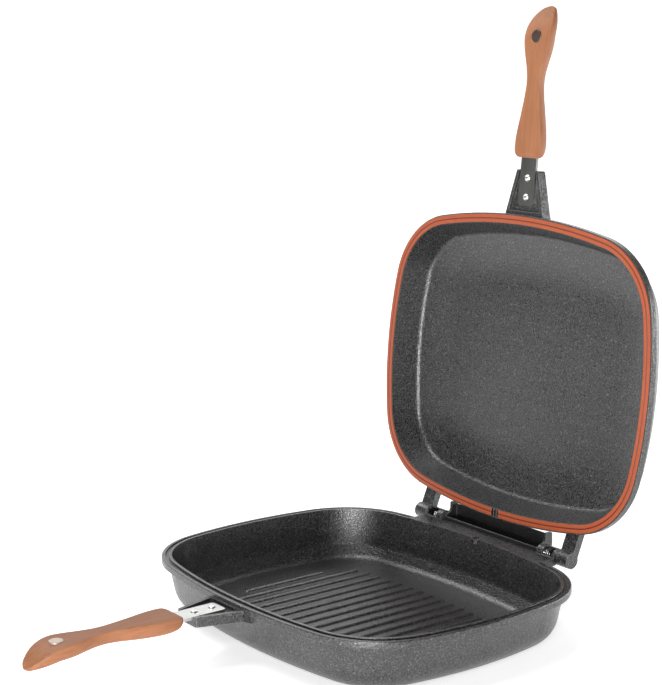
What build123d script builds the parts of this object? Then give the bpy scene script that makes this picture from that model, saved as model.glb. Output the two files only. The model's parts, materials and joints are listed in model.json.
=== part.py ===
from build123d import *
import os
from math import atan2, cos, degrees, hypot, radians, sin, sqrt, tan

# A double sided flip pan: two cast pans hinged along their back edges, with a silicone seal in the
# upper rim, a drip tray behind the hinge line and a handle on the front of each pan.
# Units are millimetres. X runs along the hinge, -Y points to the handles and +Z is up.
# The origin is the centre of the lower pan's flat base. Everything is drawn with the pan closed,
# and the upper pan's pieces are then turned open about the hinge axis.

# ---------------------------------------------------------------- driving dimensions
pan_width = 360.0        # lower rim, left to right
pan_depth = 295.0        # lower rim, front to back
side_radius = 411.0      # bow of the left and right sides
end_radius = 599.0       # bow of the front and back sides
corner_radius = 80.0
lower_height = 51.5      # base to the parting plane
upper_height = 40.9      # parting plane to the upper pan's back
opening_angle = 95.0     # how far the lid stands open at its stop

cast_floor = 4.0         # thickness of both floors
lower_flange = 7.5       # height of the lower rim band
upper_flange = 8.4       # height of the upper rim band
lower_wall_inset = 6.5   # rim edge to the outside wall, under the flange
upper_wall_inset = 9.8
upper_rim_setback = 1.7  # the upper rim is this much smaller all round
lower_draft = 0.20       # wall lean, inset per height
upper_draft = 0.30
upper_inner_draft = 0.35
lower_base_round = 24.0
upper_base_round = 27.0
edge_round = 1.0
floor_corner = 8.0       # corner radius of the flat middle of both floors

lower_band_height = 13.0  # a sloping band joins each inside wall to its floor
lower_band_width = 9.0
lower_band_round = 8.0   # where the wall meets the band
lower_floor_round = 10.0  # where the band meets the floor
upper_band_height = 9.0
upper_band_width = 34.0
upper_band_round = 7.0
upper_floor_round = 110.0

bead_width = 3.4         # outer bead of the lower rim
rim_groove_width = 3.5   # groove between bead and lip
lip_width = 2.6          # inner lip that the seal lands on
lip_drop = 0.6           # lip top below the parting plane
bead_drop = 1.0
rim_groove_drop = 2.8
metal_gap = 0.6          # upper rim metal above the parting plane

seal_width = 7.1
seal_outer_wall = 1.15   # metal outside the seal groove
seal_inner_wall = 1.25
seal_depth = 4.2
seal_crown = 0.3         # clearance from the seal's crowns to the lip
seal_notch = 1.2         # width of the line between the two crowns
seal_opening = 9.0       # gap in the seal at the steam vent
seal_side_play = 0.05
vent_width = 2.6
vent_web = 1.2
vent_web_rise = 0.4      # the webs stand proud of the rim metal
drain_bulge_radius = 4.2
drain_bulge_height = 5.0
drain_taper = 4.0        # the bulge runs out to a point below
drain_taper_end = 1.6
drain_radius = 2.8
drain_inside = 0.8       # pocket centre inside the lip's inner edge
drain_drop = 1.0         # pocket floor below the rim groove

rib_pitch = 14.6
rib_width = 7.0
rib_height = 1.8
rib_field_inset = 60.0   # rim edge to the edge of the ribbed field

hinge_behind = 13.7      # hinge axis behind the rim's back edge
hinge_drop = 0.6         # hinge axis below the parting plane
barrel_radius = 7.5
hinge_half = 106.3       # outer end of each knuckle
knuckle_length = 16.0
barrel_length = 22.7
knuckle_gap = 0.3
shelf_behind = 10.0      # shelf behind the lower rim
shelf_thickness = 7.0
shelf_root = 20.0        # how far the shelf runs in under the rim
shelf_root_drop = 8.0    # how much thicker its root is
arm_drop = 0.8           # underside of the arm below the hinge axis
arm_thickness = 6.8
arm_rise = 17.4          # degrees, from the barrel up to the flange
arm_reach = 46.0

pin_radius = 3.0
pin_play = 0.05
pin_engagement = 6.0     # pin length inside the knuckle
pin_end_play = 1.0       # bore beyond the pin's end
pin_tail_radius = 1.9
collar_radius = 5.0
collar_length = 4.4
collar_play = 0.4        # collar to the chamber's end wall
chamber_radius = 5.5
chamber_wall = 2.8       # end wall of the spring chamber, next to the knuckle
pin_travel = 7.0
spring_wire = 0.45       # wire radius
spring_turns = 5
spring_end_play = 0.1
stud_shank = 1.25
stud_inner = 1.6         # axis to the shank's inner end
stud_knob = 2.2
stud_reach = 10.5        # axis to the top of the thumb stud
stud_turn = 45.0         # the studs point up and forwards
stud_lift = 0.3          # knob above the collar
window_width = 9.4
window_spare = 1.4       # window longer than the collar's travel
plug_length = 2.7

tray_wall = 1.8
tray_half = 67.0
tray_cheek = 2.4
tray_gap = 0.3
tray_floor_drop = 9.5    # outside of the tray's floor below the hinge axis
tray_lip_rise = 3.0      # front lip above the hinge axis
tray_back_rise = 13.0
tray_back_behind = 13.6
cheek_front = 5.0
cheek_rise = 16.0
cheek_step = 8.0         # where the cheek's front edge steps back
tray_lip_round = 0.8
tray_front_round = 5.0
tray_back_round = 8.0
tray_tab_half = 8.0
tray_tab_reach = 9.0     # tab under the shelf
tray_screw_radius = 1.5
tray_screw_x = 45.0
tray_screw_behind = 5.0  # rim edge to the screws
tray_screw_head = 2.8
tray_screw_head_height = 1.8
tray_screw_depth = 4.6   # screw length in the shelf
tray_hole_play = 0.2

lug_reach = 40.5         # length in front of the rim
lug_root_half = 24.5
lug_wall = 3.6
lug_wall_drop = 4.5      # top of the lug's walls from the parting plane
lug_tip_depth = 9.0
lug_root_depth = 10.0
lug_root_in = 16.0       # the lug's root inside the rim
lug_root_spread = 1.5
lug_root_slope = 6.0     # how much deeper the root gets
lug_step = 2.0           # the lug's top steps down inside the rim
lug_end_wall = 1.8       # rim edge to the channel's end
lug_round = 2.0
channel_drop = 7.5       # the strap lies on the channel floor
strap_half = 10.0
strap_side_play = 0.4    # strap to the lug's walls at the tip
strap_thickness = 2.5
strap_start = 7.0        # rim edge to the strap's inner end
strap_length = 65.0      # wide part
strap_round = 3.0
tang_half = 5.0          # narrow part inside the grip
tang_length = 38.0
rivet_radius = 2.0
rivet_head = 3.3
rivet_head_height = 1.8
rivet_depth = 4.0        # rivet length inside the lug
rivet_end_play = 0.2
rivet_first = 15.0       # rim edge to the first rivet
rivet_second = 33.0
fixing_play = 0.05

grip_face = 0.6          # grip's flat face from the parting plane
grip_thickness = 15.6
grip_side = 4.5          # height of the grip's upright sides
grip_curve_start = 158.0  # rim edge to where the flat face begins to curve away
grip_curve_radius = 45.5
grip_back_start = 166.0  # the back falls away from here
grip_back_slope = 0.16
grip_slot_play = 0.1
mark_start = 76.0
mark_pitch = 3.4
mark_width = 1.0
mark_depth = 0.4
mark_length = 22.0
mark_count = 3
magnet_radius = 6.0
magnet_height = 4.0
magnet_at = 164.0
magnet_gap = 0.25        # magnet face from the parting plane
magnet_boss = 7.6
magnet_boss_height = 6.0
magnet_round = 0.5
screw_at = 68.0
screw_radius = 1.8
screw_head = 3.6
screw_head_height = 2.2
screw_sink = 1.0         # screw head below the grip's back
screw_cross = 4.6
screw_cross_width = 0.9
screw_play = 0.2

# Grip sections: distance from the rim edge, half width, and how far the face and the back are drawn
# in. Both ends are rounded, and the waist is narrower and thinner than the ends.
grip_sections = [
    (51.8, 10.6, 2.4, 5.5), (52.6, 12.9, 1.3, 4.2), (54.4, 14.9, 0.5, 2.8), (57.5, 16.3, 0.1, 1.5),
    (62.0, 17.1, 0, 0.4), (68.0, 16.9, 0, 0), (76.0, 15.8, 0, 0), (86.0, 13.7, 0, 0.4),
    (98.0, 11.3, 0, 1.4), (110.0, 9.2, 0, 2.6), (120.0, 8.1, 0, 3.1), (130.0, 8.9, 0, 2.8),
    (140.0, 11.4, 0, 1.8), (149.0, 14.1, 0, 0.8), (158.0, 16.0, 0, 0.2), (166.0, 16.5, 0, 0),
    (174.0, 15.8, 0, 0), (181.0, 13.6, 0, 0.1), (187.0, 10.2, 0, 0.5), (191.0, 6.6, 0, 0.8),
    (193.0, 3.6, 0, 1.2),
]

# ---------------------------------------------------------------- derived places
half_width = pan_width / 2
half_depth = pan_depth / 2
parting = lower_height
floor_inset = corner_radius - floor_corner
hinge_y = half_depth + hinge_behind
hinge_z = parting - hinge_drop
hinge_axis = Axis((0, hinge_y, hinge_z), (1, 0, 0))
lip_start = bead_width + rim_groove_width
lip_end = lip_start + lip_width
upper_rim = upper_rim_setback
groove_start = upper_rim + seal_outer_wall
groove_end = groove_start + seal_width
upper_lip_end = groove_end + seal_inner_wall
knuckle_inner = hinge_half - knuckle_length
barrel_outer = knuckle_inner - knuckle_gap
barrel_inner = barrel_outer - barrel_length
chamber_outer = barrel_outer - chamber_wall
collar_outer = chamber_outer - collar_play
collar_inner = collar_outer - collar_length
plug_inner = barrel_inner
plug_outer = barrel_inner + plug_length
pin_end = knuckle_inner + pin_engagement
pin_tail_end = plug_outer + pin_travel + collar_play
shelf_top = parting - bead_drop
shelf_low = shelf_top - shelf_thickness
shelf_back = half_depth + shelf_behind
drain_y = half_depth - lip_end + drain_inside
channel_floor = parting - channel_drop
tray_screw_y = half_depth + tray_screw_behind
stud_x = (collar_inner + collar_outer) / 2
rim_front = -half_depth
lug_tip_half = strap_half + strap_side_play + lug_wall
grip_face_z = parting - grip_face
grip_back_z = grip_face_z - grip_thickness
screw_y = rim_front - screw_at
screw_seat = grip_back_z + screw_head_height + screw_sink
magnet_y = rim_front - magnet_at

os.makedirs("parts", exist_ok=True)


# ---------------------------------------------------------------- the rounded-square outline
def corner_centre():
    """Centre of the front-right corner arc, which is tangent to a side arc and an end arc."""
    side_x = half_width - side_radius
    end_y = half_depth - end_radius
    to_side = side_radius - corner_radius
    to_end = end_radius - corner_radius
    span = hypot(side_x, end_y)
    along = (to_side**2 - to_end**2 + span**2) / (2 * span)
    across = sqrt(to_side**2 - along**2)
    ux, uy = -side_x / span, end_y / span
    return side_x + along * ux - across * uy, along * uy + across * ux


def rim_arcs():
    """The outline's eight arcs: centre x, centre y, radius, start angle and turn."""
    cx, cy = corner_centre()
    side_x = half_width - side_radius
    end_y = half_depth - end_radius
    low = degrees(atan2(cy, cx - side_x))
    high = degrees(atan2(cy - end_y, cx))
    turn = high - low
    return [
        (side_x, 0, side_radius, -low, 2 * low),
        (cx, cy, corner_radius, low, turn),
        (0, end_y, end_radius, high, 180 - 2 * high),
        (-cx, cy, corner_radius, 180 - high, turn),
        (-side_x, 0, side_radius, 180 - low, 2 * low),
        (-cx, -cy, corner_radius, 180 + low, turn),
        (0, -end_y, end_radius, 180 + high, 180 - 2 * high),
        (cx, -cy, corner_radius, -high, turn),
    ]


def outline(inset):
    """Flat face of the outline, moved inwards by the inset."""
    arcs = [CenterArc((x, y), r - inset, start, turn) for x, y, r, start, turn in rim_arcs()]
    return make_face(arcs)


def slab(inset, bottom, top):
    """Plate of the outline's shape between two heights."""
    return extrude(Pos(0, 0, bottom) * outline(inset), top - bottom)


def rounded(corners):
    """Face from (x, y, radius) corners, each corner with its own fillet."""
    face = make_face(Polyline([(x, y) for x, y, _ in corners], close=True))
    for x, y, radius in corners:
        if radius:
            corner = face.vertices().sort_by_distance(Vector(x, y, 0))[0]
            face = fillet(corner, radius)
    return face


def around(section):
    """Carry a section, drawn as (inset, height), round the whole outline."""
    ring = []
    for x, y, radius, start, turn in rim_arcs():
        standing = Plane.XZ * (Pos(radius, 0) * mirror(section, about=Plane.YZ))
        placed = Pos(x, y, 0) * Rot(0, 0, start) * standing
        ring.append(revolve(placed, Axis((x, y, 0), (0, 0, 1)), turn))
    return ring


def bowl(section, bottom, top):
    """Rounded-square solid: the section carried all round, and the core that it leaves open."""
    core = slab(floor_inset, bottom, top)
    return core.fuse(*around(section))


def corner_at(inset, height, draft, level):
    """Inset of a leaning wall where it reaches another level."""
    return inset + draft * abs(level - height)


# ---------------------------------------------------------------- small helpers
def both_sides(piece):
    """The piece and its mirror image across the middle."""
    return [piece, mirror(piece, about=Plane.YZ)]


def to_upper(piece):
    """The same piece for the other pan: mirrored in the parting plane."""
    return mirror(piece, about=Plane.XY.offset(parting))


def opened(piece):
    """Turn a piece of the closed upper pan to its open place."""
    return piece.rotate(hinge_axis, -opening_angle)


def rod(radius, x_from, x_to):
    """Cylinder along the hinge axis."""
    length = x_to - x_from
    place = Pos(x_from, hinge_y, hinge_z) * Rot(0, 90, 0)
    return place * Cylinder(radius, length, align=(Align.CENTER, Align.CENTER, Align.MIN))


def profile_x(corners, x_from, x_to, y_zero=0.0, z_zero=0.0):
    """Solid with a side profile of (y, z, radius) corners, between two x places."""
    face = Plane.YZ * (Pos(y_zero, z_zero) * rounded(corners))
    return extrude(Pos(x_from, 0, 0) * face, x_to - x_from)


def post(radius, x, y, bottom, top):
    """Upright cylinder between two heights."""
    place = Pos(x, y, bottom)
    return place * Cylinder(radius, top - bottom, align=(Align.CENTER, Align.CENTER, Align.MIN))


def group(pieces):
    """Several separate solids of one node."""
    return [solid for piece in pieces for solid in piece.solids()]


def save(node, *pieces):
    """Write one node from one or more pieces."""
    solids = group(pieces)
    shape = solids[0] if len(solids) == 1 else Compound(children=list(solids))
    export_step(shape, f"parts/{node}.step")
    print(node, len(solids), "solids")


# ---------------------------------------------------------------- lower pan
def lower_outside():
    """Outside of the lower casting, with the grooved rim on top."""
    under = parting - lower_flange
    base = corner_at(lower_wall_inset, under, lower_draft, 0)
    bead = parting - bead_drop
    groove = parting - rim_groove_drop
    lip = parting - lip_drop
    section = rounded([
        (floor_inset, 0, 0),
        (base, 0, lower_base_round),
        (lower_wall_inset, under, 2.0),
        (0, under, edge_round),
        (0, bead, edge_round),
        (bead_width, bead, edge_round / 2),
        (bead_width, groove, 0),
        (lip_start, groove, 0),
        (lip_start, lip, edge_round / 2),
        (floor_inset, lip, 0),
    ])
    return bowl(section, 0, lip)


def lower_cavity():
    """The cooking space of the lower pan, open at the top."""
    top = parting + edge_round
    band_top = cast_floor + lower_band_height
    knee = corner_at(lip_end, parting, lower_draft, band_top)
    section = rounded([
        (floor_inset, cast_floor, 0),
        (knee + lower_band_width, cast_floor, lower_floor_round),
        (knee, band_top, lower_band_round),
        (lip_end, parting - lip_drop, 0),
        (lip_end, top, 0),
        (floor_inset, top, 0),
    ])
    return bowl(section, cast_floor, top)


def rib(x):
    """One low rounded rib along Y, as long as the ribbed field is at this x."""
    crest = (rib_width**2 / 4 + rib_height**2) / (2 * rib_height)
    centre = cast_floor + rib_height - crest
    straight = field_half_depth(abs(x)) - rib_width / 2
    disc = Pos(0, centre) * Circle(crest)
    cap = disc & (Pos(0, cast_floor + rib_height / 2) * Rectangle(2 * rib_width, 2 * rib_height))
    bar = extrude(Plane.XZ * cap, straight, both=True)
    half = cap & (Pos(rib_width, cast_floor) * Rectangle(2 * rib_width, 4 * rib_height))
    end = revolve(Plane.XZ * half, Axis.Z, 360)
    return Pos(x, 0, 0) * bar.fuse(Pos(0, straight, 0) * end, Pos(0, -straight, 0) * end)


def field_half_depth(x):
    """Half length of the ribbed field at a distance from the middle, from the outline's own arcs."""
    cx, cy = corner_centre()
    end = end_radius - rib_field_inset
    side = side_radius - rib_field_inset
    corner = corner_radius - rib_field_inset
    side_x = half_width - side_radius
    if x <= cx * end / (end_radius - corner_radius):
        return half_depth - end_radius + sqrt(end**2 - x**2)
    if x <= side_x + (cx - side_x) * side / (side_radius - corner_radius):
        return cy + sqrt(corner**2 - (x - cx)**2)
    return sqrt(side**2 - (x - side_x)**2)


def rib_places():
    """Rib centre lines, a pitch apart across the field."""
    limit = half_width - rib_field_inset
    count = int(limit / rib_pitch)
    return [n * rib_pitch for n in range(-count, count + 1)]


def handle_lug():
    """Cast lug of the lower pan that carries the handle strap: two walls and a channel."""
    root = rim_front + lug_root_in
    tip = rim_front - lug_reach
    root_half = lug_root_half + lug_root_spread
    plan = make_face(Polyline([
        (-root_half, root), (-lug_root_half, rim_front), (-lug_tip_half, tip),
        (lug_tip_half, tip), (lug_root_half, rim_front), (root_half, root),
    ], close=True))
    top = parting - lug_wall_drop
    low = top - lug_root_depth - lug_root_slope
    body = extrude(Pos(0, 0, low) * plan, top - low)
    inside = rim_front + upper_rim + seal_outer_wall / 2
    side = profile_x([
        (root, top - lug_step, 0), (inside, top - lug_step, 0), (inside, top + 1, 0),
        (tip - 1, top + 1, 0), (tip - 1, top - lug_tip_depth, 0), (tip, top - lug_tip_depth, 0),
        (rim_front, top - lug_root_depth, 0), (root, low, 0),
    ], -root_half, root_half)
    inner_tip = lug_tip_half - lug_wall
    inner_root = lug_root_half - lug_wall
    end = rim_front - lug_end_wall
    channel = make_face(Polyline([
        (-inner_root, end), (-inner_tip, tip - 1), (inner_tip, tip - 1), (inner_root, end),
    ], close=True))
    cut = extrude(Pos(0, 0, channel_floor) * channel, channel_drop)
    lug = body & side
    upright = lug.edges().filter_by(Axis.Z).sort_by(Axis.Y)[:2]
    return fillet(upright, lug_round) - cut


def hinge_shelf():
    """Shelf behind the lower rim, with a barrel at each end for the sprung pins."""
    root = half_depth - shelf_root
    shelf = profile_x([
        (root, shelf_top, 0), (shelf_back, shelf_top, edge_round / 2), (shelf_back, shelf_low, 1.5),
        (half_depth, shelf_low, 0), (root, shelf_low - shelf_root_drop, 0),
    ], -barrel_outer, barrel_outer)
    barrels = both_sides(rod(barrel_radius, barrel_inner, barrel_outer))
    return shelf.fuse(*barrels)


def pin_space():
    """Pin bore, spring chamber and thumb window of the right-hand barrel."""
    bore = rod(pin_radius + pin_play, chamber_outer - 1, barrel_outer + 1)
    chamber = rod(chamber_radius, barrel_inner - 1, chamber_outer)
    width = collar_length + pin_travel + window_spare
    middle = chamber_outer - width / 2
    slot = Box(width, window_width, 2 * barrel_radius, align=(Align.CENTER, Align.CENTER, Align.MIN))
    window = Pos(middle, hinge_y, hinge_z) * Rot(stud_turn, 0, 0) * slot
    return bore.fuse(chamber, window)


def drain_bulge():
    """Small bulge inside the lip at the middle of the back, which holds the drain pocket."""
    low = parting - drain_bulge_height
    bulge = post(drain_bulge_radius, 0, drain_y, low, parting - lip_drop)
    taper = Cone(drain_taper_end, drain_bulge_radius, drain_taper,
                 align=(Align.CENTER, Align.CENTER, Align.MAX))
    return bulge.fuse(Pos(0, drain_y, low) * taper)


def drain_pocket():
    """Pocket through the lip and the rim groove at the middle of the back."""
    bottom = parting - rim_groove_drop - drain_drop
    length = lip_end - bead_width - drain_inside
    height = parting - bottom
    slot = Box(2 * drain_radius, length, height, align=(Align.CENTER, Align.MIN, Align.MIN))
    return (Pos(0, drain_y, bottom) * slot).fuse(post(drain_radius, 0, drain_y, bottom, parting))


def lower_pan():
    """The deep lower casting."""
    body = lower_outside().fuse(handle_lug(), hinge_shelf())
    body = body - lower_cavity()
    body = body.fuse(drain_bulge()) - drain_pocket()
    body = body.fuse(*[rib(x) for x in rib_places()])
    body = body - both_sides(pin_space())
    return body - rivet_holes() - tray_screw_holes()


# ---------------------------------------------------------------- upper pan, closed
def upper_outside():
    """Outside of the upper casting, with the seal groove in its rim."""
    rim = parting + metal_gap
    back = parting + upper_flange
    wall = upper_rim + upper_wall_inset
    top = parting + upper_height
    crown = corner_at(wall, back + 1, upper_draft, top)
    section = rounded([
        (floor_inset, top, 0),
        (crown, top, upper_base_round),
        (wall, back + 1, 3.0),
        (upper_rim, back, 2.0),
        (upper_rim, rim, edge_round / 2),
        (groove_start, rim, 0.3),
        (groove_start, rim + seal_depth, 0),
        (groove_end, rim + seal_depth, 0),
        (groove_end, rim, 0.3),
        (floor_inset, rim, 0),
    ])
    return bowl(section, rim, top)


def upper_cavity():
    """The space inside the upper pan."""
    rim = parting + metal_gap
    level = parting + upper_height - cast_floor
    low = rim - edge_round
    band_top = level - upper_band_height
    knee = corner_at(upper_lip_end, rim, upper_inner_draft, band_top)
    foot = knee + upper_band_width
    half_turn = atan2(upper_band_height, upper_band_width) / 2
    # The round is no larger than the flat strip beside it leaves room for.
    room = (floor_inset - edge_round - foot) / tan(half_turn)
    section = rounded([
        (floor_inset, level, 0),
        (foot, level, min(upper_floor_round, room)),
        (knee, band_top, upper_band_round),
        (upper_lip_end, rim, 0),
        (upper_lip_end, low, 0),
        (floor_inset, low, 0),
    ])
    return bowl(section, low, level)


def vent_block():
    """Two upright webs across the seal groove, with the steam vent between them."""
    y = half_depth - upper_rim - edge_round / 2
    low = parting + metal_gap - vent_web_rise
    web = Box(vent_web, y - half_depth + upper_lip_end, seal_depth + 2 * vent_web_rise,
              align=(Align.CENTER, Align.MAX, Align.MIN))
    return both_sides(Pos((vent_width + vent_web) / 2, y, low) * web)


def hinge_arm():
    """Right-hand arm of the upper pan, from its flange to the knuckle on the hinge axis."""
    rise = radians(arm_rise)
    low = -arm_drop
    high = low + arm_thickness / cos(rise)
    lift = arm_reach * sin(rise) / cos(rise)
    corners = [
        (0, low, 0), (0, high, 0), (-arm_reach, high + lift, 0), (-arm_reach, low + lift, 0),
    ]
    arm = profile_x(corners, knuckle_inner, hinge_half, hinge_y, hinge_z)
    return arm.fuse(rod(barrel_radius, knuckle_inner, hinge_half))


def knuckle_bore():
    """Blind bore that the sprung pin enters."""
    return rod(pin_radius + pin_play, knuckle_inner - knuckle_gap, pin_end + pin_end_play)


def upper_pan():
    """The shallower upper casting, which closes the lower one."""
    body = upper_outside().fuse(to_upper(handle_lug()), *both_sides(hinge_arm()))
    body = body - upper_cavity()
    body = body.fuse(*vent_block())
    return body - both_sides(knuckle_bore()) - to_upper(rivet_holes())


def gasket():
    """Silicone seal with two crowns, open at the steam vent."""
    base = parting + metal_gap + seal_depth
    crown = parting - lip_drop + seal_crown
    start = groove_start + seal_side_play
    end = groove_end - seal_side_play
    middle = (start + end) / 2
    section = rounded([
        (start, base, 0), (start, crown, 0.9),
        (middle - seal_notch / 2, crown, 0.5), (middle, crown + 1.6, 0),
        (middle + seal_notch / 2, crown, 0.5),
        (end, crown, 0.9), (end, base, 0),
    ])
    parts = around(section)
    ring = parts[0].fuse(*parts[1:])
    gap = Pos(0, half_depth, parting) * Box(seal_opening, 40, 40)
    return ring - gap


# ---------------------------------------------------------------- hinge pins
def hinge_pin():
    """Right-hand sprung pin, with the collar that the spring pushes and the stud screws into."""
    shaft = rod(pin_radius, collar_inner, pin_end)
    collar = rod(collar_radius, collar_inner, collar_outer)
    tail = rod(pin_tail_radius, pin_tail_end, collar_inner)
    hole = stud_post(stud_shank + fixing_play, stud_inner - fixing_play, stud_reach)
    return shaft.fuse(collar, tail) - hole


def stud_post(radius, inner, outer):
    """Cylinder that points up and forwards out of the right-hand barrel."""
    return Pos(stud_x, hinge_y, hinge_z) * Rot(stud_turn, 0, 0) * post(radius, 0, 0, inner, outer)


def thumb_stud():
    """Stud that a thumb draws inwards to free the lid."""
    shank = stud_post(stud_shank, stud_inner, stud_reach - stud_knob / 2)
    knob = stud_post(stud_knob, collar_radius + stud_lift, stud_reach)
    return shank.fuse(knob)


def pin_spring():
    """Compression spring between the plug and the collar."""
    length = collar_inner - plug_outer - 2 * (spring_wire + spring_end_play)
    radius = (chamber_radius + pin_tail_radius) / 2
    path = Helix(length / spring_turns, length, radius)
    section = Plane(path @ 0, z_dir=path % 0) * Circle(spring_wire)
    coil = sweep(section, path=path, is_frenet=True)
    place = Pos(plug_outer + spring_wire + spring_end_play, hinge_y, hinge_z) * Rot(0, 90, 0)
    return place * coil


def spring_plug():
    """Plug that closes the spring chamber."""
    return rod(chamber_radius - fixing_play, plug_inner, plug_outer)


# ---------------------------------------------------------------- drip tray
def drip_tray():
    """Trough behind the shelf that catches what runs off the open lid."""
    front = shelf_back + tray_gap - hinge_y
    inner_front = front + tray_wall
    back = tray_back_behind
    inner_back = back - tray_wall
    low = -tray_floor_drop
    trough = profile_x([
        (front, tray_lip_rise, tray_lip_round), (front, low, tray_front_round),
        (back, low, tray_back_round), (back, tray_back_rise, tray_lip_round),
        (inner_back, tray_back_rise, tray_lip_round),
        (inner_back, low + tray_wall, tray_back_round - tray_wall),
        (inner_front, low + tray_wall, tray_front_round - tray_wall),
        (inner_front, tray_lip_rise, tray_lip_round),
    ], -tray_half, tray_half, hinge_y, hinge_z)
    cheek = profile_x([
        (front, tray_lip_rise, tray_lip_round), (front, low, tray_front_round),
        (back, low, tray_back_round), (back, cheek_rise, 2.0), (cheek_front, cheek_rise, 1.5),
        (cheek_front, cheek_step, 5.0),
    ], tray_half - tray_cheek, tray_half, hinge_y, hinge_z)
    return trough.fuse(*both_sides(cheek), *both_sides(tray_tab())) - tray_screw_bores()


def tray_tab():
    """Right-hand tab of the tray, which lies under the shelf."""
    end = shelf_back + tray_gap
    return profile_x([
        (end - tray_tab_reach, shelf_low, 0), (end - tray_tab_reach, shelf_low - tray_wall, 0),
        (end + tray_wall, shelf_low - tray_wall, 0), (end + tray_wall, shelf_low, 0),
    ], tray_screw_x - tray_tab_half, tray_screw_x + tray_tab_half)


def tray_screw_bores():
    """Clearance holes in the tray's tabs."""
    radius = tray_screw_radius + tray_hole_play
    return both_sides(post(radius, tray_screw_x, tray_screw_y, shelf_low - 2 * tray_wall, shelf_low))


def tray_screw_holes():
    """Blind holes in the shelf for the tray's screws."""
    radius = tray_screw_radius + fixing_play
    top = shelf_low + tray_screw_depth + tray_hole_play
    return both_sides(post(radius, tray_screw_x, tray_screw_y, shelf_low, top))


def tray_screws():
    """Two pan-head screws from below, through the tray's tabs into the shelf."""
    seat = shelf_low - tray_wall
    shank = post(tray_screw_radius, tray_screw_x, tray_screw_y, seat, shelf_low + tray_screw_depth)
    head = post(tray_screw_head, tray_screw_x, tray_screw_y, seat - tray_screw_head_height, seat)
    return both_sides(shank.fuse(head))


# ---------------------------------------------------------------- handles, drawn for the lower pan
def strap():
    """Steel strap riveted in the lug's channel and running into the grip."""
    plan = strap_plan(0, rim_front - strap_start)
    plate = extrude(Pos(0, 0, channel_floor) * plan, strap_thickness)
    ends = plate.edges().filter_by(Axis.Z).sort_by(Axis.Y)
    plate = fillet([ends[0], ends[1], ends[-1], ends[-2]], strap_round)
    return plate - rivet_holes() - screw_hole()


def strap_plan(play, inner):
    """Plan of the strap and of its narrow tang, with play all round."""
    shoulder = rim_front - strap_start - strap_length - play
    wide = strap_half + play
    narrow = tang_half + play
    end = shoulder - tang_length
    return make_face(Polyline([
        (-wide, inner), (-wide, shoulder), (-narrow, shoulder), (-narrow, end),
        (narrow, end), (narrow, shoulder), (wide, shoulder), (wide, inner),
    ], close=True))


def rivet_holes():
    """Holes for the two rivets through the strap and into the lug."""
    radius = rivet_radius + fixing_play
    top = channel_floor + strap_thickness
    low = channel_floor - rivet_depth - rivet_end_play
    return [post(radius, 0, rim_front - at, low, top) for at in (rivet_first, rivet_second)]


def rivets():
    """Two domed rivets."""
    top = channel_floor + strap_thickness
    dome = (rivet_head**2 + rivet_head_height**2) / (2 * rivet_head_height)
    ball = Pos(0, 0, rivet_head_height - dome) * Sphere(dome)
    head = ball & post(rivet_head, 0, 0, 0, rivet_head_height)
    shank = post(rivet_radius, 0, 0, -strap_thickness - rivet_depth, 0)
    rivet = shank.fuse(head)
    return [Pos(0, rim_front - at, top) * rivet for at in (rivet_first, rivet_second)]


def face_drop(at):
    """How far the grip's face has curved away from its flat stretch."""
    past = max(at - grip_curve_start, 0)
    return grip_curve_radius - sqrt(grip_curve_radius**2 - past**2)


def back_drop(at):
    """The grip's back falls away a little towards the tip."""
    return max(at - grip_back_start, 0) * grip_back_slope


def grip_section(at, half, face_in, back_in):
    """Flat face, short upright sides and a rounded back."""
    face = grip_face_z - face_drop(at) - face_in
    back = grip_back_z - back_drop(at) + back_in
    waist = face - min(grip_side, (face - back) * 0.3)
    edges = [
        Line((-half, waist), (-half, face)),
        Line((-half, face), (half, face)),
        Line((half, face), (half, waist)),
        EllipticalCenterArc((0, waist), half, waist - back, 180, arc_size=180),
    ]
    flat = make_face(edges)
    return Pos(0, rim_front - at, 0) * (Plane.XZ * flat)


def grip():
    """Moulded grip with a flat inner face, a narrow waist and a tip that curves away."""
    body = loft([grip_section(*section) for section in grip_sections])
    body = body.fuse(post(magnet_boss, 0, magnet_y, grip_face_z - magnet_boss_height, grip_face_z))
    pocket_low = parting - magnet_gap - magnet_height
    pocket = post(magnet_radius + fixing_play, 0, magnet_y, pocket_low, parting)
    slot_plan = strap_plan(grip_slot_play, rim_front)
    slot_low = channel_floor - grip_slot_play
    slot = extrude(Pos(0, 0, slot_low) * slot_plan, strap_thickness + 2 * grip_slot_play)
    mark = Box(mark_length, mark_width, 2 * mark_depth)
    first = rim_front - mark_start
    marks = [Pos(0, first - n * mark_pitch, grip_face_z) * mark for n in range(mark_count)]
    return body - pocket - slot - marks - screw_bore()


def magnet():
    """Disc magnet that holds the two grips together."""
    top = parting - magnet_gap
    disc = post(magnet_radius, 0, magnet_y, top - magnet_height, top)
    return fillet(disc.edges().sort_by(Axis.Z)[-1], magnet_round)


def screw_bore():
    """Stepped hole in the grip's back for its screw."""
    shank = post(screw_radius + screw_play, 0, screw_y, grip_back_z, channel_floor)
    head = post(screw_head + screw_play, 0, screw_y, grip_back_z - screw_sink, screw_seat)
    return shank.fuse(head)


def screw_hole():
    """Threaded hole in the strap."""
    radius = screw_radius + fixing_play
    return post(radius, 0, screw_y, channel_floor, channel_floor + strap_thickness)


def grip_screw():
    """Cross-slotted screw that holds the grip on its strap."""
    shank = post(screw_radius, 0, screw_y, screw_seat, channel_floor + strap_thickness)
    bottom = screw_seat - screw_head_height
    head = post(screw_head, 0, screw_y, bottom, screw_seat)
    head = chamfer(head.edges().sort_by(Axis.Z)[0], magnet_round)
    slot = Box(screw_cross, screw_cross_width, screw_head_height)
    cross = slot.fuse(Rot(0, 0, 90) * slot)
    return shank.fuse(head) - Pos(0, screw_y, bottom) * cross


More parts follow.
